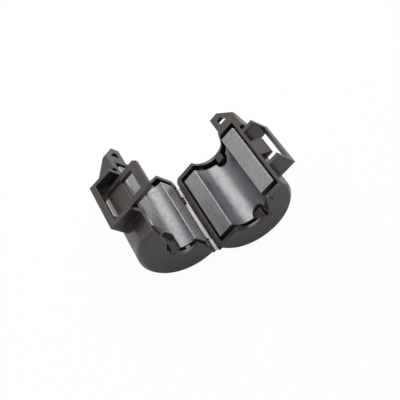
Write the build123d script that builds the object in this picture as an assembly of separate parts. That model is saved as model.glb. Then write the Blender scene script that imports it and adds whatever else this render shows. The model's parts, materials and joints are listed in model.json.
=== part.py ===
"""Clip on ferrite bead lying open: two half-round shells on film straps, each with a ferrite half ring."""
import os

from build123d import *

# Driving dimensions, in millimetres. In each half u runs from the hinge to the latch, y along the bore
# towards the ears, and w out of the parting face.
cable_opening_d = 13.0
shell_d = 32.4
shell_length = 35.0
shell_wall = 2.0
end_wall = 1.6
hinge_offset = 0.5
latch_flat = 0.9
half_tilt_deg = 45.0

# Clearances that let the two halves close and the ferrite sit in its shell, and the overrun of cuts.
rim_clear = 0.12
ferrite_face_clear = 0.04
seat_clear = 0.01
seat_gap = 0.7
end_gap = 1.9
bore_step = 0.75
latch_clear = 0.3
overrun = 60.0

# Rounded edges and chamfers.
shell_chamfer = 1.3
shell_edge_r = 2.0
ferrite_chamfer = 0.4
bore_edge_chamfer = 0.25
opening_round = 0.8
knee_share = 0.29
lead_in = 0.5

# Latch side of the cable openings: a cut-back mouth, a long slope at the left half's near end, and the slit
# that lets the right half's near end give way to the cable.
mouth_reach = 1.4
mouth_drop = 3.5
slope_reach = 8.3
slope_drop = 3.0
slit_offset = 2.5
slit_width = 0.6
slit_top = 0.15
slit_drop = 2.6

# Ribs and stops that hold the ferrite, and the key at each end that enters a notch in its bore. The key and
# the notch at the left half's near end are longer.
seat_rib_width = 2.4
seat_angles_deg = (-40.0, -90.0, -140.0)
stop_width = 1.6
stop_angles_deg = (-30.0, -150.0)
right_key_angle_deg = -84.0
left_key_angle_deg = -110.0
key_width = 2.9
key_height = 2.0
key_reach = 0.9
long_key_reach = 2.8
key_slot_width = 1.6
key_gap = 1.3
notch_reach = 3.0
long_notch_reach = 8.0

# Film hinge: two straps, a raised ridge on the right half and a low rim on the left.
strap_width = 4.8
near_strap_inset = 3.0
far_strap_inset = 6.0
strap_thick = 0.4
strap_reach = 0.9
lug_depth = 0.7
lug_root = 0.9
ridge_near_gap = 0.2
ridge_far_gap = 3.0
ridge_height = 2.0
low_rim = 1.0

# Latch guard on both halves: two cheeks and the bar that joins them.
latch_centre = 0.8
arm_side_gap = 1.6
cheek = 1.4
guard_reach = 4.8
guard_depth = 9.5
guard_flare = 0.6
bar_thick = 1.5
cheek_root_share = 0.8
bar_height = 2.3

# Latch arm on the left half, and the ramped catch that its window drops over on the right half.
arm_width = 12.8
arm_thick = 1.6
arm_web = 0.8
arm_tip = 8.3
arm_foot = 2.0
leg_width = 1.5
tip_bevel = 1.2
window_foot = 0.3
window_high = 5.0
window_width = 8.4
catch_reach = 2.8
catch_top = 0.5
catch_lip = 3.2
catch_clear = 0.4
catch_side_clear = 0.7

# Tie ear past the far end, with its side flange and web.
ear_setback = 1.6
ear_reach = 6.7
ear_tip_width = 3.6
ear_thick = 1.7
ear_bar = 2.0
ear_hole_start = 1.7
ear_hole_reach = 2.4
ear_slant_bar = 2.2
flange_reach = 1.5
flange_end = 1.3
flange_inset = 5.6
web_thick = 1.5
web_depth = 7.2
web_foot = 1.8

shell_r = shell_d / 2
bore_u = hinge_offset + shell_r
wall_u = bore_u + shell_r - latch_flat
cavity_r = shell_r - shell_wall
ferrite_r = cavity_r - seat_gap
opening_r = cable_opening_d / 2
lip_u = bore_u + opening_r
ferrite_bore_r = opening_r + bore_step
end_y = shell_length / 2
end_inner_y = end_y - end_wall
ferrite_end_y = end_inner_y - end_gap
near_strap_y = -end_y + near_strap_inset
far_strap_y = end_y - far_strap_inset
ridge_low_y = near_strap_y + strap_width / 2 + ridge_near_gap
ridge_high_y = far_strap_y - strap_width / 2 - ridge_far_gap
arm_inner_u = wall_u + latch_clear
arm_outer_u = arm_inner_u + arm_thick
guard_u = wall_u + guard_reach
guard_foot_u = guard_u + guard_flare
guard_outer_y = arm_width / 2 + arm_side_gap + cheek
overlap = shell_wall / 2


def across(points, y_low, y_high):
    """Solid of an outline in u and w, drawn from y_low to y_high."""
    plane = Plane((0, y_high, 0), x_dir=(1, 0, 0), z_dir=(0, -1, 0))
    return extrude(plane * make_face(Polyline(*points, close=True)), amount=y_high - y_low)


def flat(points, w_low, w_high):
    """Solid of an outline in u and y, from w_low to w_high."""
    plane = Plane((0, 0, w_low), x_dir=(1, 0, 0), z_dir=(0, 0, 1))
    return extrude(plane * make_face(Polyline(*points, close=True)), amount=w_high - w_low)


def facing(points, u_low, u_high):
    """Solid of an outline in y and w, from u_low to u_high."""
    plane = Plane((u_low, 0, 0), x_dir=(0, 1, 0), z_dir=(1, 0, 0))
    return extrude(plane * make_face(Polyline(*points, close=True)), amount=u_high - u_low)


def box(u_low, u_high, y_low, y_high, w_low, w_high):
    """Block between two values in u, in y and in w."""
    corners = [(u_low, y_low), (u_high, y_low), (u_high, y_high), (u_low, y_high)]
    return flat(corners, w_low, w_high)


def rod(radius, y_low, y_high):
    """Cylinder about the bore's axis."""
    plane = Plane((bore_u, y_high, 0), x_dir=(1, 0, 0), z_dir=(0, -1, 0))
    return extrude(plane * Circle(radius), amount=y_high - y_low)


def spoke(angle_deg, width, r_low, r_high, y_low, y_high):
    """Block that runs out from the bore's axis at an angle below the parting face."""
    block = box(r_low, r_high, y_low, y_high, -width / 2, width / 2)
    return Pos(bore_u, 0, 0) * Rot(0, -angle_deg, 0) * block


def parting_cut(level):
    """Everything above a level of w, to cut a half off flat."""
    return box(-overrun, overrun, -overrun, overrun, level, overrun)


def bore_notch(side, angle_deg, reach):
    """Round-ended notch through the ferrite's bore at one end, for the key."""
    half = key_width / 2 + key_gap
    turn_y = side * (ferrite_end_y - reach + half)
    top_r = opening_r + key_height + key_gap
    low, high = sorted((turn_y, side * overrun))
    slot = box(0, top_r, low, high, -half, half)
    plane = Plane((0, turn_y, 0), x_dir=(0, 1, 0), z_dir=(1, 0, 0))
    slot += extrude(plane * Circle(half), amount=top_r)
    return Pos(bore_u, 0, 0) * Rot(0, -angle_deg, 0) * slot


def ferrite_half(angle_deg, near_reach):
    """Half ring with ground parting faces, eased edges and a notch at each end of its bore."""
    ring = rod(ferrite_r, -ferrite_end_y, ferrite_end_y) - parting_cut(-ferrite_face_clear)
    outer = ring.edges().filter_by(GeomType.CIRCLE)
    outer += ring.edges().filter_by(Axis.Y)
    ring = chamfer(outer, ferrite_chamfer)
    ring -= rod(ferrite_bore_r, -ferrite_end_y, ferrite_end_y)
    reach = ferrite_bore_r + ferrite_chamfer
    inner = [edge for edge in ring.edges().filter_by(Axis.Y) if abs(edge.center().X - bore_u) < reach]
    ring = chamfer(inner, bore_edge_chamfer)
    return ring - bore_notch(-1, angle_deg, near_reach) - bore_notch(1, angle_deg, notch_reach)


def shell_drum():
    """Half drum with rounded ends and a flat on the latch side, before it is hollowed."""
    drum = rod(shell_r, -end_y, end_y)
    drum = chamfer(drum.edges().filter_by(GeomType.CIRCLE), shell_chamfer)
    rims = drum.edges().filter_by(GeomType.CIRCLE)
    drum = fillet([rim for rim in rims if rim.radius > shell_r - shell_chamfer / 2], shell_edge_r)
    drum -= box(wall_u, overrun, -overrun, overrun, -overrun, overrun)
    return drum - parting_cut(-rim_clear)


def guard():
    """Two cheeks beside the latch and the bar that joins their outer corners."""
    cheek_outline = [
        (wall_u - overlap, -rim_clear),
        (guard_u, -rim_clear),
        (guard_foot_u, -guard_depth),
        (bore_u + cavity_r * cheek_root_share, -guard_depth),
    ]
    low = latch_centre - guard_outer_y
    high = latch_centre + guard_outer_y
    cheeks = across(cheek_outline, low, low + cheek) + across(cheek_outline, high - cheek, high)
    bar_outline = [
        (guard_foot_u, -guard_depth),
        (guard_foot_u - bar_thick, -guard_depth),
        (guard_foot_u - bar_thick, -guard_depth + bar_height),
        (guard_u + guard_flare * (1 - bar_height / guard_depth), -guard_depth + bar_height),
    ]
    return cheeks + across(bar_outline, low, high)


def tie_ear():
    """Eye past the far end in the parting face, with a side flange and the web below it."""
    ear_u = lip_u + ear_setback
    tip_u = ear_u + ear_tip_width
    tip_y = end_y + ear_reach
    corner_u = wall_u + flange_reach
    flange_y = end_y + flange_end
    flange_start = end_y - flange_inset
    inner_u = wall_u - overlap
    outline = [
        (ear_u, end_inner_y),
        (ear_u, tip_y),
        (tip_u, tip_y),
        (corner_u, flange_y),
        (corner_u, flange_start),
        (inner_u, flange_start),
        (inner_u, end_inner_y),
    ]
    hole_u = ear_u + ear_bar
    hole_y = end_y + ear_hole_start
    hole_top = hole_y + ear_hole_reach
    slant = (corner_u - tip_u) / (tip_y - flange_y)
    bar_u = tip_u - ear_slant_bar
    hole = [
        (hole_u, hole_y),
        (bar_u + slant * (tip_y - hole_y), hole_y),
        (bar_u + slant * (tip_y - hole_top), hole_top),
        (hole_u, hole_top),
    ]
    top = -rim_clear
    ear = flat(outline, top - ear_thick, top) - flat(hole, -overrun, overrun)
    web = [
        (flange_y, top),
        (flange_y, top - ear_thick),
        (flange_start + web_foot, -web_depth),
        (flange_start, -web_depth),
        (flange_start, top),
    ]
    return ear + facing(web, corner_u - web_thick, corner_u)


def hinge_lugs():
    """Pads on the hinge side that the film straps grow out of, and a taller one beside the far strap."""
    outer_u = (hinge_offset - strap_thick) / 2
    inner_u = hinge_offset + lug_root
    lug_foot = -strap_reach - lug_depth
    lugs = []
    for centre_y in (near_strap_y, far_strap_y):
        low = centre_y - strap_width / 2
        lugs.append(box(outer_u, inner_u, low, low + strap_width, lug_foot, -strap_reach))
    tall = box(outer_u, inner_u, ridge_high_y, far_strap_y - strap_width / 2, lug_foot, -rim_clear)
    return lugs[0] + lugs[1] + tall


def ferrite_seat():
    """Ribs under the ferrite and stops at its ends."""
    outer_r = shell_r - overlap
    pieces = []
    for angle in seat_angles_deg:
        rib = spoke(angle, seat_rib_width, ferrite_r - overlap, outer_r, -end_inner_y, end_inner_y)
        pieces.append(rib)
    for side in (-1, 1):
        low, high = sorted((side * (end_y - end_wall / 2), side * ferrite_end_y))
        for angle in stop_angles_deg:
            pieces.append(spoke(angle, stop_width, opening_r + overlap, outer_r, low, high))
    room_y = ferrite_end_y + seat_clear
    return Part() + pieces - rod(ferrite_r + seat_clear, -room_y, room_y)


def cable_opening():
    """Cut for the cable through both end walls, with outer edges eased in two steps."""
    knee = opening_round * knee_share
    outline = [
        (bore_u, -end_y),
        (lip_u + opening_round, -end_y),
        (lip_u + knee, -end_y + knee),
        (lip_u, -end_y + opening_round),
        (lip_u, end_y - opening_round),
        (lip_u + knee, end_y - knee),
        (lip_u + opening_round, end_y),
        (bore_u, end_y),
    ]
    return revolve(make_face(Polyline(*outline, close=True)), axis=Axis((bore_u, 0, 0), (0, 1, 0)))


def mouth(reach, drop, side):
    """Cut from the parting face down to the opening's edge, on the latch side of one end wall."""
    edge_u = bore_u + (opening_r**2 - drop**2) ** 0.5
    low, high = sorted((side * (end_inner_y - end_gap / 2), side * end_y))
    return across([(bore_u, 0), (lip_u + reach, 0), (edge_u, -drop), (bore_u, -drop)], low, high)


def near_slit():
    """Slit around the opening's latch side, through the near end wall."""
    inner_r = opening_r + slit_offset - slit_width / 2
    ring = rod(inner_r + slit_width, -end_y, -end_inner_y) - rod(inner_r, -end_y, -end_inner_y)
    return ring & box(bore_u, overrun, -overrun, 0, -slit_drop, -slit_top)


def end_keys(angle_deg, near_reach):
    """One key on each end wall that reaches into the notch in the ferrite's bore."""
    pieces = []
    for side, reach in ((-1, near_reach), (1, key_reach)):
        low, high = sorted((side * (end_inner_y + end_wall / 2), side * (ferrite_end_y - reach)))
        pieces.append(spoke(angle_deg, key_width, opening_r, opening_r + key_height, low, high))
    return pieces[0] + pieces[1]


def key_slot():
    """Slot in the right half's near end wall beside the key, which lets it spring."""
    low = key_width / 2
    slot = box(0, opening_r + key_height, -end_y, -end_inner_y, low, low + key_slot_width)
    return Pos(bore_u, 0, 0) * Rot(0, -right_key_angle_deg, 0) * slot


def plain_shell(angle_deg, near_reach):
    """What the two half shells share, with the keys at an angle and the near one's reach."""
    shell = shell_drum() + guard() + tie_ear() + hinge_lugs()
    shell -= rod(cavity_r, -end_inner_y, end_inner_y)
    shell += ferrite_seat()
    shell -= cable_opening()
    return shell + end_keys(angle_deg, near_reach)


def latch_arm():
    """Sprung channel that stands on the guard's bar, with the window that drops over the catch."""
    low = latch_centre - arm_width / 2
    high = latch_centre + arm_width / 2
    plate = facing(
        [
            (low, -guard_depth),
            (high, -guard_depth),
            (high, arm_tip - tip_bevel),
            (high - tip_bevel, arm_tip),
            (low + tip_bevel, arm_tip),
            (low, arm_tip - tip_bevel),
        ],
        arm_inner_u,
        arm_outer_u,
    )
    window_y = window_width / 2
    leg_y = arm_width / 2 - leg_width
    centre = latch_centre
    window = box(0, overrun, centre - window_y, centre + window_y, -window_foot, window_high)
    recess = box(arm_inner_u + arm_web, overrun, centre - leg_y, centre + leg_y, -overrun, -window_foot)
    foot_gap = box(0, overrun, centre - leg_y, centre + leg_y, -overrun, arm_foot - guard_depth)
    corner = [(arm_inner_u, arm_tip), (arm_inner_u, arm_tip - lead_in), (arm_inner_u + lead_in, arm_tip)]
    arm = plate - window - recess - foot_gap - across(corner, low, high)
    bar_u = guard_foot_u - bar_thick / 2
    for leg_low in (low, high - leg_width):
        arm += box(arm_inner_u, bar_u, leg_low, leg_low + leg_width, -guard_depth, arm_foot - guard_depth)
    return arm


def catch():
    """Ramped block on the right shell that holds the arm's window."""
    nose_u = wall_u + catch_reach
    foot = catch_clear - window_high
    outline = [
        (wall_u - overlap, -catch_top),
        (wall_u, -catch_top),
        (nose_u, -catch_lip),
        (nose_u, foot),
        (wall_u - overlap, foot),
    ]
    half = window_width / 2 - catch_side_clear
    return across(outline, latch_centre - half, latch_centre + half)


def left_shell():
    """Half with the latch arm, and with a low rim between its straps."""
    shell = plain_shell(left_key_angle_deg, long_key_reach) + latch_arm()
    shell -= mouth(slope_reach, slope_drop, -1)
    rim_u = hinge_offset + shell_wall
    shell -= box(-overrun, rim_u, ridge_low_y, ridge_high_y, -low_rim, overrun)
    half = strap_width / 2
    for centre_y in (near_strap_y, far_strap_y):
        shell -= box(-overrun, rim_u, centre_y - half, centre_y + half, -strap_reach, overrun)
    return shell


def right_shell():
    """Half with the catch, and with a raised ridge between its straps."""
    ridge = box(0, hinge_offset + overlap, ridge_low_y, ridge_high_y, -rim_clear - ridge_height, -rim_clear)
    shell = plain_shell(right_key_angle_deg, key_reach) + catch() + ridge
    shell -= mouth(mouth_reach, mouth_drop, -1) + mouth(mouth_reach, mouth_drop, 1)
    return shell - near_slit() - key_slot()


def film_strap(centre_y):
    """Strap bent to the open angle, from the left lug to the right one."""
    end = Vector(hinge_offset / 2, 0, -strap_reach).rotate(Axis.Y, -half_tilt_deg)
    span = 90 - half_tilt_deg
    turn_r = end.X / sin_deg(span)
    centre_z = end.Z - turn_r * cos_deg(span)
    plane = Plane((0, centre_y + strap_width / 2, centre_z), x_dir=(1, 0, 0), z_dir=(0, -1, 0))
    outer = CenterArc((0, 0), turn_r + strap_thick / 2, half_tilt_deg, 2 * span)
    inner = CenterArc((0, 0), turn_r - strap_thick / 2, half_tilt_deg, 2 * span)
    sides = [Line(outer @ 0, inner @ 0), Line(outer @ 1, inner @ 1)]
    return extrude(plane * make_face([outer, inner, *sides]), amount=strap_width)


def place(half):
    """The right half as it lies open."""
    return Rot(0, -half_tilt_deg, 0) * half


def write(node, shape):
    """Move a piece so that the part stands on its lowest line, centred, and write it."""
    export_step(stand * shape, os.path.join("parts", node + ".step"))


def sin_deg(angle):
    """Sine of an angle in degrees."""
    return Vector(1, 0, 0).rotate(Axis.Z, angle).Y


def cos_deg(angle):
    """Cosine of an angle in degrees."""
    return Vector(1, 0, 0).rotate(Axis.Z, angle).X


os.makedirs("parts", exist_ok=True)
stand_z = shell_r - bore_u * sin_deg(half_tilt_deg)
stand = Pos(0, -ear_reach / 2, stand_z)
write("right_shell", place(right_shell()))
write("left_shell", mirror(place(left_shell()), about=Plane.YZ))
write("right_ferrite_half", place(ferrite_half(right_key_angle_deg, notch_reach)))
write("left_ferrite_half", mirror(place(ferrite_half(left_key_angle_deg, long_notch_reach)), about=Plane.YZ))
write("near_hinge_strap", film_strap(near_strap_y))
write("far_hinge_strap", film_strap(far_strap_y))
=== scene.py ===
# %% [markdown]
# # A clip on ferrite bead, opened on a white table
#
# Two half-round plastic shells hang together on a thin film hinge. Each one holds half a ferrite ring, and
# when the case snaps shut around a cable the ferrite soaks up high-frequency noise. The exact shapes were
# made in CAD, so this notebook loads them as a fixed frame and adds finishes, hinge straps modelled again
# as film, light and a camera.

# %% Load the imported frame
import json
import math

import bpy
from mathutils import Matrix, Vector

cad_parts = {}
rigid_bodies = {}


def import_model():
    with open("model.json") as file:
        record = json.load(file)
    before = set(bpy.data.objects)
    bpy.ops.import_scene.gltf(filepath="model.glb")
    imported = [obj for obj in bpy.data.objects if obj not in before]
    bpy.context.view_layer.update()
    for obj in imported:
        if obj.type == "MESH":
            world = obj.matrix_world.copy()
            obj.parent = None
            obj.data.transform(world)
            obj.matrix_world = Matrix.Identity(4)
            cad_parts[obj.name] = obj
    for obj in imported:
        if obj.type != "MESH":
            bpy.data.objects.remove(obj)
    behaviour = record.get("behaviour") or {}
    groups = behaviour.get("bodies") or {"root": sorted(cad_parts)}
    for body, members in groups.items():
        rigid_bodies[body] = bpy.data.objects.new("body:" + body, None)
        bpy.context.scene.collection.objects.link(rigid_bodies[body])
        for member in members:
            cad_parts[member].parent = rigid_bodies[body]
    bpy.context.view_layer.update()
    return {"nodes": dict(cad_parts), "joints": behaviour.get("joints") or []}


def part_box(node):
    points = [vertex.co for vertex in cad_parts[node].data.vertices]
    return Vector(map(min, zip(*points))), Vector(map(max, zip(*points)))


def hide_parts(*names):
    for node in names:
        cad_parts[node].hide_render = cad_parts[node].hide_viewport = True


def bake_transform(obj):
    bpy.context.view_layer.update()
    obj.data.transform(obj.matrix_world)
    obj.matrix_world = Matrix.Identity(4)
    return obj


MM = 0.001

bpy.ops.object.select_all(action="SELECT")
bpy.ops.object.delete()
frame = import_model()
hinge = Vector(frame["joints"][0]["pos_m"])


def in_mm(lengths):
    """Lengths in metres as rounded millimetres, for printing."""
    return [round(length / MM, 3) for length in lengths]


print("nodes:", sorted(frame["nodes"]))
print("hinge axis passes", in_mm(hinge), "mm")

# %% [markdown]
# ## Camera
#
# The picture looks down at about fifty degrees, from a little left of the cable's direction. A camera
# could be nudged by eye, but here its angle, distance and lens were solved from corners whose place on the
# part is known, and only the solved numbers are needed. A small lens shift puts the hinge where the picture
# has it, with no change of perspective.

# %% Place the camera
VIEW_AZIMUTH = math.radians(-26.08)
VIEW_ELEVATION = math.radians(49.92)
VIEW_DISTANCE = 241.6 * MM
NEAREST_SEEN = 10 * MM
SENSOR_MM = 36.0
PICTURE_PX = 400
FOCAL_PX = 688.22
HINGE_PX = (195.21, 214.94)

view_back = Vector((
    math.sin(VIEW_AZIMUTH) * math.cos(VIEW_ELEVATION),
    -math.cos(VIEW_AZIMUTH) * math.cos(VIEW_ELEVATION),
    math.sin(VIEW_ELEVATION),
))
bpy.ops.object.camera_add(location=hinge + view_back * VIEW_DISTANCE)
camera = bpy.context.object
camera.name = "view_camera"
camera.rotation_euler = view_back.to_track_quat("Z", "Y").to_euler()
optics = camera.data
optics.sensor_width = SENSOR_MM
optics.lens = SENSOR_MM * FOCAL_PX / PICTURE_PX
optics.shift_x = (PICTURE_PX / 2 - HINGE_PX[0]) / PICTURE_PX
optics.shift_y = (HINGE_PX[1] - PICTURE_PX / 2) / PICTURE_PX
optics.clip_start = NEAREST_SEEN
bpy.context.scene.camera = camera
print("lens", round(optics.lens, 2), "mm, shift", round(optics.shift_x, 4), round(optics.shift_y, 4))

# %% [markdown]
# ## Floor
#
# Product pictures of small parts are shot on white paper that is far larger than the part. One flat sheet
# is enough here, because the camera looks down and never sees its end.

# %% Lay the floor
FLOOR_SIZE = 4.0

bpy.ops.object.select_all(action="DESELECT")
bpy.ops.mesh.primitive_plane_add(size=FLOOR_SIZE, location=(0, 0, 0))
floor = bpy.context.object
floor.name = "paper_floor"
print("floor", FLOOR_SIZE, "m square")

# %% [markdown]
# ## White paper
#
# The paper bounces light like any sheet, but where the camera looks straight at it, nearly all of its shade
# is lifted to white, so that only a breath of shadow stays. In reflections less is lifted, because the low
# front walls owe their depth to the shaded paper that they mirror. A Light Path node tells these rays
# apart.
#
# Every finish is a tree of such nodes. In the editor a node is added, set and linked by hand, and here one
# helper does all three.

# %% Make the paper
PAPER_WHITE = (0.9, 0.9, 0.9, 1.0)
WHITE_GLOW = 1.0
SHADE_LIFT_SHARE = 0.97
MIRRORED_LIFT_SHARE = 0.25


def new_material(name):
    """A material with an empty node tree, and that tree."""
    material = bpy.data.materials.new(name)
    material.use_nodes = True
    material.node_tree.nodes.clear()
    return material, material.node_tree


def add_node(tree, kind, inputs, **settings):
    """A new node with its settings, whose inputs are linked to sockets or set to constants."""
    node = tree.nodes.new(kind)
    for setting, value in settings.items():
        setattr(node, setting, value)
    for name, value in inputs.items():
        if isinstance(value, bpy.types.NodeSocket):
            tree.links.new(value, node.inputs[name])
        else:
            node.inputs[name].default_value = value
    return node


def shown_directly(tree, mirrored_share):
    """A factor of 1 for rays from the camera or clear glass, a share in reflections, else 0."""
    path = tree.nodes.new("ShaderNodeLightPath").outputs
    shown = path["Is Camera Ray"]
    for kind, share in (("Is Glossy Ray", mirrored_share), ("Is Transmission Ray", 1.0)):
        inputs = {0: path[kind], 1: share, 2: shown}
        added = add_node(tree, "ShaderNodeMath", inputs, operation="MULTIPLY_ADD", use_clamp=True)
        shown = added.outputs[0]
    return shown


paper, tree = new_material("white_paper")
sheet = add_node(tree, "ShaderNodeBsdfDiffuse", {"Color": PAPER_WHITE})
glow = add_node(tree, "ShaderNodeEmission", {"Strength": WHITE_GLOW})
shown = shown_directly(tree, MIRRORED_LIFT_SHARE)
lift = add_node(tree, "ShaderNodeMath", {0: shown, 1: SHADE_LIFT_SHARE}, operation="MULTIPLY")
lifted = add_node(tree, "ShaderNodeMixShader", {
    0: lift.outputs[0],
    1: sheet.outputs[0],
    2: glow.outputs[0],
})
add_node(tree, "ShaderNodeOutputMaterial", {"Surface": lifted.outputs[0]})
floor.data.materials.append(paper)
print(paper.name, "has", SHADE_LIFT_SHARE, "of its shade lifted for the camera")

# %% [markdown]
# ## Softboxes
#
# The ferrite's bores show one broad bright band each. A mirror would show the lamp where the surface halves
# the angle between camera and lamp, so the bands say where the lamp is: high behind the case, a little to
# the left, and wide. One large panel there makes the bands. A dimmer panel overhead lights the parting
# faces. Directions point from the hinge to the panel, and distances and sizes are in metres.

# %% Set up the softboxes
BACK_PANEL = {"direction": (-0.22, 0.58, 0.79), "distance": 0.7, "size": (0.8, 0.36), "radiance": 4.2}
TOP_PANEL = {"direction": (0.1, -0.05, 1.0), "distance": 0.8, "size": (0.5, 0.4), "radiance": 2.0}


def softbox(name, direction, distance, size, radiance):
    """A rectangular panel that looks at the hinge from a direction and shines with a given radiance."""
    way = Vector(direction).normalized()
    bpy.ops.object.light_add(type="AREA", location=hinge + way * distance)
    lamp = bpy.context.object
    lamp.name = name
    lamp.rotation_euler = way.to_track_quat("Z", "Y").to_euler()
    lamp.data.shape = "RECTANGLE"
    lamp.data.size, lamp.data.size_y = size
    lamp.data.energy = radiance * math.pi * size[0] * size[1]
    print(name, "at", [round(v, 2) for v in lamp.location], "with", round(lamp.data.energy, 2), "W")


softbox("back_softbox", **BACK_PANEL)
softbox("top_softbox", **TOP_PANEL)

# %% [markdown]
# ## Room
#
# The room is a white backdrop. It lights the case more from behind than from the camera's side, so that the
# rounded walls in front stay dark. A world has no faces, so its shader reads the direction of each ray,
# whose Y part runs from the front to the back. Where the backdrop is seen or mirrored, it is plain white.
# The Standard view transform shows colours as they are written.

# %% Set up the room
BACKDROP_WHITE = (1.0, 1.0, 1.0, 1.0)
SEEN_LIGHT = 1.0
MIRRORED_ROOM_SHARE = 1.0
FRONT_LIGHT = 0.16
BACK_LIGHT = 0.75
FRONT_END = -0.4
BACK_END = 0.7


def mix(tree, kind, factor, low, high):
    """A mix by a factor of two values (FLOAT) or two colours (RGBA)."""
    node = add_node(tree, "ShaderNodeMix", {"Factor": factor, "A": low, "B": high}, data_type=kind)
    return node.outputs["Result"]


room = bpy.data.worlds.new("white_room")
bpy.context.scene.world = room
room.use_nodes = True
tree = room.node_tree
way = tree.nodes.new("ShaderNodeTexCoord").outputs["Generated"]
depth = add_node(tree, "ShaderNodeSeparateXYZ", {"Vector": way})
level = add_node(tree, "ShaderNodeMapRange", {
    "Value": depth.outputs["Y"],
    "From Min": FRONT_END,
    "From Max": BACK_END,
    "To Min": FRONT_LIGHT,
    "To Max": BACK_LIGHT,
}, interpolation_type="SMOOTHSTEP")
seen = shown_directly(tree, MIRRORED_ROOM_SHARE)
strength = mix(tree, "FLOAT", seen, level.outputs["Result"], SEEN_LIGHT)
backdrop = tree.nodes["Background"]
backdrop.inputs["Color"].default_value = BACKDROP_WHITE
tree.links.new(strength, backdrop.inputs["Strength"])
bpy.context.scene.view_settings.view_transform = "Standard"
print("room light from", FRONT_LIGHT, "in front to", BACK_LIGHT, "behind")

# %% [markdown]
# ## Rounded edges
#
# Moulded and ground edges are never knife sharp. A Bevel node turns the normal near an edge as if it were
# rounded, and the amount that it turns also marks where edges are. That is where wear and handling polish
# show, and where the plastic's edges get a painted highlight. Both are wanted in the plastic and in the
# ferrite, so they live in one node group, and each material places it with a radius of its own. A dot
# product compares the turned normal with the face's: it is 1 on the flat and falls towards an edge.

# %% Build the group for rounded edges
BEVEL_SAMPLES = 8
USUAL_RADIUS = 0.2 * MM
FLAT_LIKENESS = 1.0
EDGE_LIKENESS = 0.8


def new_group(name, inputs, outputs):
    """A shader node group with named sockets, and the sockets that its inputs come in by."""
    group = bpy.data.node_groups.new(name, "ShaderNodeTree")
    for socket, kind, value in inputs:
        made = group.interface.new_socket(socket, in_out="INPUT", socket_type=kind)
        made.default_value = value
    for socket, kind in outputs:
        group.interface.new_socket(socket, in_out="OUTPUT", socket_type=kind)
    return group, group.nodes.new("NodeGroupInput").outputs


rounded_edges, given = new_group(
    "rounded_edges",
    [("Radius", "NodeSocketFloat", USUAL_RADIUS)],
    [("Normal", "NodeSocketVector"), ("Edge", "NodeSocketFloat")],
)
bevel = add_node(rounded_edges, "ShaderNodeBevel", {"Radius": given["Radius"]}, samples=BEVEL_SAMPLES)
turned = bevel.outputs["Normal"]
face = rounded_edges.nodes.new("ShaderNodeNewGeometry").outputs["Normal"]
likeness = add_node(rounded_edges, "ShaderNodeVectorMath", {0: turned, 1: face}, operation="DOT_PRODUCT")
edge = add_node(rounded_edges, "ShaderNodeMapRange", {
    "Value": likeness.outputs["Value"],
    "From Min": FLAT_LIKENESS,
    "From Max": EDGE_LIKENESS,
})
add_node(rounded_edges, "NodeGroupOutput", {"Normal": turned, "Edge": edge.outputs["Result"]})
print(rounded_edges.name, "has sockets", [socket.name for socket in rounded_edges.interface.items_tree])

# %% [markdown]
# ## Grain and patches
#
# No real surface has one even colour and gloss. A second group gives two noises to every finish: a fine
# grain, which can be stretched into lines, and slow cloudy patches. Both read Object coordinates, so they
# stay on a piece when it moves.

# %% Build the group for grain
USUAL_GRAIN_SCALE = 5000.0
USUAL_PATCH_SCALE = 150.0
EVEN_STRETCH = (1.0, 1.0, 1.0)
GRAIN_DETAIL = 3.0
PATCH_DETAIL = 4.0

surface_grain, given = new_group(
    "surface_grain",
    [
        ("Grain Scale", "NodeSocketFloat", USUAL_GRAIN_SCALE),
        ("Patch Scale", "NodeSocketFloat", USUAL_PATCH_SCALE),
        ("Stretch", "NodeSocketVector", EVEN_STRETCH),
    ],
    [("Grain", "NodeSocketFloat"), ("Patch", "NodeSocketFloat")],
)
place = surface_grain.nodes.new("ShaderNodeTexCoord").outputs["Object"]
stretched = add_node(
    surface_grain, "ShaderNodeVectorMath", {0: place, 1: given["Stretch"]}, operation="MULTIPLY"
)
grain = add_node(surface_grain, "ShaderNodeTexNoise", {
    "Vector": stretched.outputs["Vector"],
    "Scale": given["Grain Scale"],
    "Detail": GRAIN_DETAIL,
})
patch = add_node(surface_grain, "ShaderNodeTexNoise", {
    "Vector": place,
    "Scale": given["Patch Scale"],
    "Detail": PATCH_DETAIL,
})
add_node(surface_grain, "NodeGroupOutput", {"Grain": grain.outputs["Fac"], "Patch": patch.outputs["Fac"]})
print(surface_grain.name, "has sockets", [socket.name for socket in surface_grain.interface.items_tree])

# %% [markdown]
# ## Case plastic
#
# The shells are moulded in charcoal polyamide with a fine spark-eroded texture. The colour drifts a little
# in slow patches, and the edges are paler, partly as polish from handling and partly as a painted
# highlight.
# The fine grain breaks up the gloss. A noise seldom reaches its ends, so a helper spreads the range that it
# mostly lies in over the values that are wanted.

# %% Mix the case plastic
NOISE_LOW = 0.3
NOISE_HIGH = 0.7
PLASTIC_DARK = (0.014, 0.012, 0.011, 1.0)
PLASTIC_PALE = (0.023, 0.02, 0.0185, 1.0)
PLASTIC_WORN_AND_HIGHLIT = (0.055, 0.049, 0.046, 1.0)
PLASTIC_IOR = 1.6
PLASTIC_SHEEN = (1.0, 0.93, 0.89, 1.0)
PLASTIC_ROUGHNESS = (0.28, 0.42)
PLASTIC_EDGE_RADIUS = 0.22 * MM
PLASTIC_GRAIN_SCALE = 4200.0
PLASTIC_PATCH_SCALE = 160.0
PLASTIC_BUMP = 0.35
PLASTIC_GRAIN_DEPTH = 0.02 * MM


def spread(tree, noise, low, high):
    """A noise whose usual range is mapped onto two values."""
    mapped = add_node(tree, "ShaderNodeMapRange", {
        "Value": noise,
        "From Min": NOISE_LOW,
        "From Max": NOISE_HIGH,
        "To Min": low,
        "To Max": high,
    })
    return mapped.outputs["Result"]


def finish_node(node, material):
    """Give a CAD node's object a new material in its first slot."""
    frame["nodes"][node].material_slots[0].material = material
    print(node, "is finished in", material.name)


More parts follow.
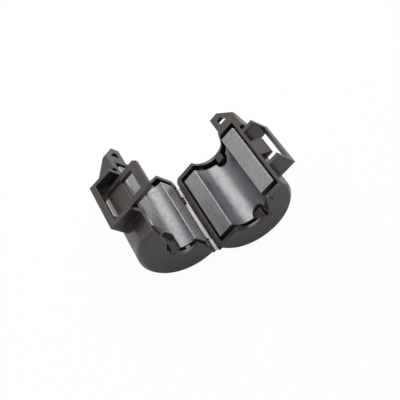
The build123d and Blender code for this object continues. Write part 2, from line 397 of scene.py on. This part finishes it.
case_plastic, tree = new_material("case_plastic")
edges = add_node(tree, "ShaderNodeGroup", {
    "Radius": PLASTIC_EDGE_RADIUS,
}, node_tree=rounded_edges).outputs
texture = add_node(tree, "ShaderNodeGroup", {
    "Grain Scale": PLASTIC_GRAIN_SCALE,
    "Patch Scale": PLASTIC_PATCH_SCALE,
}, node_tree=surface_grain).outputs
body = mix(tree, "RGBA", texture["Patch"], PLASTIC_DARK, PLASTIC_PALE)
bump = add_node(tree, "ShaderNodeBump", {
    "Height": texture["Grain"],
    "Normal": edges["Normal"],
    "Strength": PLASTIC_BUMP,
    "Distance": PLASTIC_GRAIN_DEPTH,
})
shader = add_node(tree, "ShaderNodeBsdfPrincipled", {
    # The pale edge colour is partly handling wear and partly a painted highlight on the rounded edges.
    "Base Color": mix(tree, "RGBA", edges["Edge"], body, PLASTIC_WORN_AND_HIGHLIT),
    "Roughness": spread(tree, texture["Patch"], *PLASTIC_ROUGHNESS),
    "IOR": PLASTIC_IOR,
    "Specular Tint": PLASTIC_SHEEN,
    "Normal": bump.outputs["Normal"],
})
add_node(tree, "ShaderNodeOutputMaterial", {"Surface": shader.outputs["BSDF"]})
finish_node("left_shell", case_plastic)
finish_node("right_shell", case_plastic)

# %% [markdown]
# ## Ferrite
#
# Ferrite is a dark grey sintered ceramic with a faint violet cast. Its parting faces are ground flat so
# that the two halves meet without an air gap, which leaves them paler and smoother, with fine lines along
# the bore. Elsewhere it keeps the mottled satin skin of the kiln. The faces could be picked out one by one,
# but how far a point lies below the parting plane tells the two apart as well, and works for both halves.
# So the first step is a mask of the ground faces. In the open case both parting planes pass the hinge and
# slope at 45 degrees.

# %% Tell the ground faces from the kiln skin
SLANT = math.sqrt(0.5)
LEFT_PARTING_NORMAL = (SLANT, 0.0, SLANT)
RIGHT_PARTING_NORMAL = (-SLANT, 0.0, SLANT)
KILN_HEIGHT = -0.25 * MM
GROUND_HEIGHT = -0.08 * MM


def ground_mask(tree, parting_normal):
    """A factor of 1 on the ground faces and 0 below them, for a parting plane that passes the hinge."""
    place = tree.nodes.new("ShaderNodeTexCoord").outputs["Object"]
    from_hinge = add_node(tree, "ShaderNodeVectorMath", {0: place, 1: hinge}, operation="SUBTRACT")
    inputs = {0: from_hinge.outputs["Vector"], 1: parting_normal}
    height = add_node(tree, "ShaderNodeVectorMath", inputs, operation="DOT_PRODUCT")
    mask = add_node(tree, "ShaderNodeMapRange", {
        "Value": height.outputs["Value"],
        "From Min": KILN_HEIGHT,
        "From Max": GROUND_HEIGHT,
    })
    return mask.outputs["Result"]


print("ground faces fade into skin between heights of", in_mm([GROUND_HEIGHT, KILN_HEIGHT]), "mm")

# %% [markdown]
# The colours come next. The kiln skin is mottled by the slow patches. The ground faces mix fine lines with
# the same mottle, and small chips pale the edges.

# %% Mix the ferrite's colours
KILN_DARK = (0.048, 0.045, 0.057, 1.0)
KILN_PALE = (0.109, 0.103, 0.122, 1.0)
GROUND_DARK = (0.112, 0.106, 0.115, 1.0)
GROUND_PALE = (0.185, 0.174, 0.188, 1.0)
CHIPPED = (0.36, 0.355, 0.37, 1.0)
CHIPPED_SHARE = 0.6
MOTTLE_RANGE = (0.0, 1.0)
LINE_RANGE = (0.25, 0.75)
MOTTLE_SHARE = 0.4


def ferrite_colour(tree, patches, lines, ground, edge):
    """Mottled skin and lined faces, told apart by the ground mask, with pale edges."""
    mottle = spread(tree, patches, *MOTTLE_RANGE)
    kiln = mix(tree, "RGBA", mottle, KILN_DARK, KILN_PALE)
    cloud = mix(tree, "FLOAT", MOTTLE_SHARE, spread(tree, lines, *LINE_RANGE), mottle)
    faces = mix(tree, "RGBA", cloud, GROUND_DARK, GROUND_PALE)
    body = mix(tree, "RGBA", ground, kiln, faces)
    chips = add_node(tree, "ShaderNodeMath", {0: edge, 1: CHIPPED_SHARE}, operation="MULTIPLY")
    return mix(tree, "RGBA", chips.outputs[0], body, CHIPPED)


print("kiln skin from", KILN_DARK[:3], "to", KILN_PALE[:3])
print("ground faces from", GROUND_DARK[:3], "to", GROUND_PALE[:3])

# %% [markdown]
# The finish joins the mask, the colours and the relief. Grain roughens the skin, lines run along the faces,
# and each has its own range of roughness.

# %% Finish both ferrite halves
FERRITE_IOR = 2.0
FERRITE_EDGE_RADIUS = 0.18 * MM
SKIN_GRAIN_SCALE = 2600.0
SKIN_PATCH_SCALE = 750.0
LINE_SCALE = 4000.0
LINE_STRETCH = (1.0, 0.03, 1.0)
KILN_ROUGHNESS = (0.28, 0.46)
GROUND_ROUGHNESS = (0.22, 0.32)
FERRITE_BUMP = 0.25
FERRITE_RELIEF = 0.012 * MM


def ground_ferrite(name, parting_normal):
    """Sintered ferrite with ground parting faces, for a half with a given parting plane."""
    material, tree = new_material(name)
    ground = ground_mask(tree, parting_normal)
    edges = add_node(tree, "ShaderNodeGroup", {
        "Radius": FERRITE_EDGE_RADIUS,
    }, node_tree=rounded_edges).outputs
    skin = add_node(tree, "ShaderNodeGroup", {
        "Grain Scale": SKIN_GRAIN_SCALE,
        "Patch Scale": SKIN_PATCH_SCALE,
    }, node_tree=surface_grain).outputs
    lines = add_node(tree, "ShaderNodeGroup", {
        "Grain Scale": LINE_SCALE,
        "Stretch": LINE_STRETCH,
    }, node_tree=surface_grain).outputs["Grain"]
    kiln_roughness = spread(tree, skin["Patch"], *KILN_ROUGHNESS)
    ground_roughness = spread(tree, skin["Patch"], *GROUND_ROUGHNESS)
    bump = add_node(tree, "ShaderNodeBump", {
        "Height": mix(tree, "FLOAT", ground, skin["Grain"], lines),
        "Normal": edges["Normal"],
        "Strength": FERRITE_BUMP,
        "Distance": FERRITE_RELIEF,
    })
    shader = add_node(tree, "ShaderNodeBsdfPrincipled", {
        "Base Color": ferrite_colour(tree, skin["Patch"], lines, ground, edges["Edge"]),
        "Roughness": mix(tree, "FLOAT", ground, kiln_roughness, ground_roughness),
        "IOR": FERRITE_IOR,
        "Normal": bump.outputs["Normal"],
    })
    add_node(tree, "ShaderNodeOutputMaterial", {"Surface": shader.outputs["BSDF"]})
    return material


finish_node("left_ferrite_half", ground_ferrite("left_ferrite", LEFT_PARTING_NORMAL))
finish_node("right_ferrite_half", ground_ferrite("right_ferrite", RIGHT_PARTING_NORMAL))

# %% [markdown]
# ## Whitened film with a painted highlight
#
# The halves hang together on film of the same plastic, moulded so thin that it bends. Black film that has
# been bent turns pale and shiny at the crown, and the crown of the arch also catches the lamps. So its
# finish goes from dark plastic at both roots to a pale film in the middle, which is partly stress whitening
# and partly a painted highlight. A picture could be painted for this, but the distance from the middle is
# all that it needs.

# %% Mix the whitened film
# The pale crown colour below is partly stress whitening and partly a painted highlight.
FILM_DARK = (0.05, 0.046, 0.043, 1.0)
FILM_WHITENED_AND_HIGHLIT = (0.5, 0.475, 0.47, 1.0)
FILM_IOR = 1.53
FILM_ROUGHNESS = 0.28
FILM_GRAIN_SCALE = 2500.0
FILM_STRETCH = (1.0, 0.15, 1.0)
FILM_STREAKS = (0.75, 1.0)
FILM_BUMP = 0.2
FILM_RELIEF = 0.01 * MM
CROWN_SHARE = 0.35


def whitened_highlit_film(name, middle_x, half_width):
    """Dark plastic that pales towards the middle of a film, partly as whitening where it has been stretched
    and partly as a painted highlight on the crown.
    """
    material, tree = new_material(name)
    place = tree.nodes.new("ShaderNodeTexCoord").outputs["Object"]
    across = add_node(tree, "ShaderNodeSeparateXYZ", {"Vector": place})
    aside = add_node(tree, "ShaderNodeMath", {0: across.outputs["X"], 1: middle_x}, operation="SUBTRACT")
    distance = add_node(tree, "ShaderNodeMath", {0: aside.outputs[0]}, operation="ABSOLUTE")
    paling_and_sheen = add_node(tree, "ShaderNodeMapRange", {
        "Value": distance.outputs[0],
        "From Min": half_width,
        "From Max": CROWN_SHARE * half_width,
    }, interpolation_type="SMOOTHSTEP")
    grain = add_node(tree, "ShaderNodeGroup", {
        "Grain Scale": FILM_GRAIN_SCALE,
        "Stretch": FILM_STRETCH,
    }, node_tree=surface_grain).outputs["Grain"]
    inputs = {0: paling_and_sheen.outputs["Result"], 1: spread(tree, grain, *FILM_STREAKS)}
    streaks = add_node(tree, "ShaderNodeMath", inputs, operation="MULTIPLY")
    bump = add_node(tree, "ShaderNodeBump", {
        "Height": grain,
        "Strength": FILM_BUMP,
        "Distance": FILM_RELIEF,
    })
    shader = add_node(tree, "ShaderNodeBsdfPrincipled", {
        "Base Color": mix(tree, "RGBA", streaks.outputs[0], FILM_DARK, FILM_WHITENED_AND_HIGHLIT),
        "Roughness": FILM_ROUGHNESS,
        "IOR": FILM_IOR,
        "Normal": bump.outputs["Normal"],
    })
    add_node(tree, "ShaderNodeOutputMaterial", {"Surface": shader.outputs["BSDF"]})
    return material


near_strap_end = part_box("near_hinge_strap")[1]
strap_film = whitened_highlit_film("whitened_highlit_film", hinge.x, near_strap_end.x)
print("film pales within", round(near_strap_end.x / MM, 2), "mm of the hinge plane")

# %% [markdown]
# ## Hinge straps
#
# Two short straps carry the hinge. In CAD each strap is stiff at its open shape, so here each is modelled
# again. A strap could be a bent plate, but it starts as a small rectangle that is spun about the centre of
# its arch, because that gives an even row of sections for the bend. A bevel then rounds its edges.

# %% Spin a strip of film
FILM_STEPS = 24
FILM_ROUND = 0.08 * MM
FILM_ROUND_SEGMENTS = 2
SMOOTH_ANGLE = math.radians(50)


def spun_film(name, centre, radii, length, first_deg, sweep_deg):
    """A strip of film spun about a line along Y, from an angle above the left side over to the right."""
    inner, outer = radii
    bpy.ops.object.select_all(action="DESELECT")
    bpy.ops.mesh.primitive_plane_add(size=1.0, location=(0, 0, 0))
    strip = bpy.context.object
    strip.name = name
    bpy.ops.object.mode_set(mode="EDIT")
    bpy.ops.mesh.select_all(action="SELECT")
    bpy.ops.transform.resize(value=(outer - inner, length, 1.0))
    bpy.ops.transform.translate(value=(-(outer + inner) / 2, 0, 0))
    bpy.ops.transform.rotate(value=math.radians(-first_deg), orient_axis="Y", center_override=(0, 0, 0))
    bpy.ops.transform.translate(value=centre)
    bpy.ops.mesh.spin(steps=FILM_STEPS, angle=math.radians(-sweep_deg), center=centre, axis=(0, 1, 0))
    bpy.ops.mesh.select_all(action="SELECT")
    bpy.ops.mesh.normals_make_consistent(inside=False)
    bpy.ops.object.mode_set(mode="OBJECT")
    rounding = strip.modifiers.new("rounding", "BEVEL")
    rounding.width = FILM_ROUND
    rounding.segments = FILM_ROUND_SEGMENTS
    rounding.limit_method = "ANGLE"
    bpy.ops.object.modifier_apply(modifier="rounding")
    bpy.ops.object.shade_smooth_by_angle(angle=SMOOTH_ANGLE)
    return strip


print("film is spun in", FILM_STEPS, "steps, with edges rounded by", round(FILM_ROUND / MM, 2), "mm")

# %% [markdown]
# Each strap is a quarter turn sized from its CAD box. The arch's outer radius follows from the box's width,
# and its inner radius from the box's height. The rounding takes a little off the corners.

# %% Model the hinge straps
STRAP_FIRST_DEG = 45
STRAP_SWEEP_DEG = 90


def hang_film(strip, material):
    """Finish a strip as hinge film: print its size, give it its material and bake its transform."""
    points = [vertex.co for vertex in strip.data.vertices]
    size = [max(p[i] for p in points) - min(p[i] for p in points) for i in range(3)]
    print(strip.name, "is", in_mm(size), "mm")
    strip.data.materials.append(material)
    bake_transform(strip)


for name, node in (("near_film_strap", "near_hinge_strap"), ("far_film_strap", "far_hinge_strap")):
    low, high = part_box(node)
    outer = (high.x - low.x) * SLANT
    inner = (outer - (high.z - low.z)) / SLANT
    centre = Vector(((low.x + high.x) / 2, (low.y + high.y) / 2, high.z - outer))
    strap = spun_film(name, centre, (inner, outer), high.y - low.y, STRAP_FIRST_DEG, STRAP_SWEEP_DEG)
    print(node, "is", in_mm(high - low), "mm")
    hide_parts(node)
    hang_film(strap, strap_film)

# %% [markdown]
# ## Film web
#
# Between the straps the same film runs on as a thin web, from the low rim of the left half to the ridge of
# the right one. It is a shallow arch through two known points, so it can be spun in the same way. The chord
# between the points and the arch's rise give the radius. Each root is given by its distance from the hinge
# towards the latch and its height out of the parting face.

# %% Model the film between the straps
WEB_THICK = 0.3 * MM
WEB_RISE = 0.16 * MM
LEFT_ROOT = (0.6 * MM, -1.08 * MM)
RIGHT_ROOT = (0.08 * MM, -0.3 * MM)
WEB_NEAR_GAP = 0.2 * MM
WEB_FAR_GAP = 3.0 * MM
WEB_CROWN_SHARE = 0.4


def on_half(side, root):
    """A root's place on the left (-1) or right (1) half."""
    towards_latch, out = root
    return Vector((side * (towards_latch - out) * SLANT, 0.0, hinge.z + (towards_latch + out) * SLANT))


def degrees_above_left(point, centre):
    """The angle at which a point of an arch stands above its centre, from the left side."""
    return math.degrees(math.atan2(point.z - centre.z, centre.x - point.x))


left_root = on_half(-1, LEFT_ROOT)
right_root = on_half(1, RIGHT_ROOT)
chord = right_root - left_root
web_r = (chord.length**2 / 4 + WEB_RISE**2) / (2 * WEB_RISE)
web_radii = (web_r - WEB_THICK / 2, web_r + WEB_THICK / 2)
upright = Vector((-chord.z, 0.0, chord.x)).normalized()
web_low = near_strap_end.y + WEB_NEAR_GAP
web_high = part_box("far_hinge_strap")[0].y - WEB_FAR_GAP
centre = (left_root + right_root) / 2 - upright * (web_r - WEB_RISE)
centre.y = (web_low + web_high) / 2
first = degrees_above_left(left_root, centre)
sweep = degrees_above_left(right_root, centre) - first
web = spun_film("film_web", centre, web_radii, web_high - web_low, first, sweep)
# The web's paler crown, set off-centre towards the left, is partly whitening and partly a painted
# highlight.
web_film = whitened_highlit_film("web_film", left_root.x + WEB_CROWN_SHARE * chord.x, chord.x)
hang_film(web, web_film)
print("web starts", round(first, 1), "degrees above the left and turns", round(sweep, 1))
